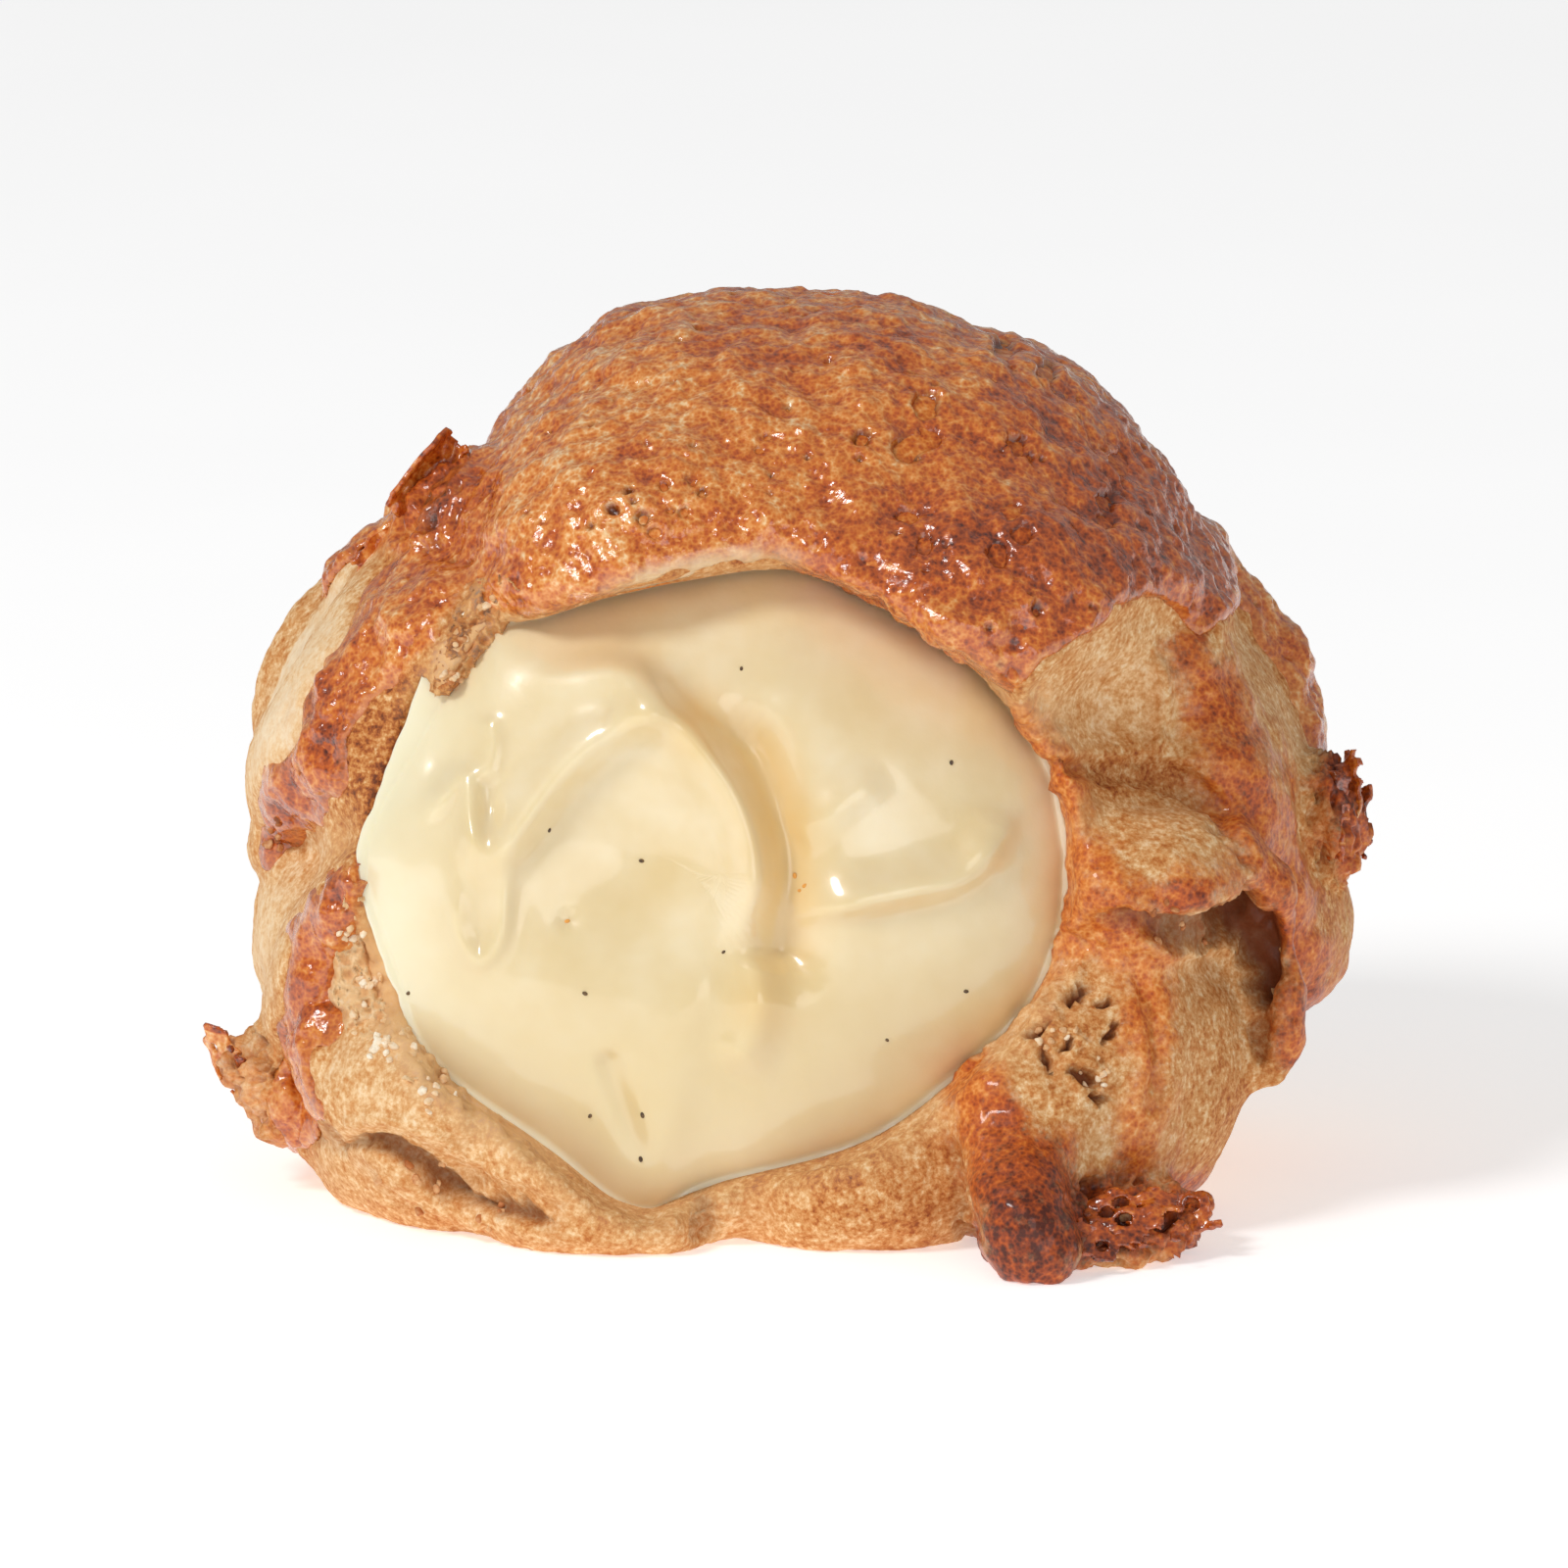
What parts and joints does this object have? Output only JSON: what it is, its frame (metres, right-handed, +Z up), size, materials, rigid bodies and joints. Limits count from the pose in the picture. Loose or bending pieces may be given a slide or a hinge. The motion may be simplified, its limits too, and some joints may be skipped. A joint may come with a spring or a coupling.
{
  "type": "cream puff",
  "caption": "Cream puff torn open at the front: a lobed choux shell under a glossy baked crust that ran down its sides, filled with smooth custard swirled by a spoon.",
  "frame": {"origin": "middle of the puff's bounding box at the height of its flat baked base", "axes": "+X to the right across the torn face, +Z up, -Y out of the torn face"},
  "size_m": [0.0862, 0.0788, 0.0667],
  "materials": {
    "choux": "baked choux and crust, satin with glossy patches",
    "custard": "smooth custard, soft gloss"
  },
  "bodies": {
    "root": {"choux_shell": "choux", "custard": "custard"}
  },
  "joints": []
}
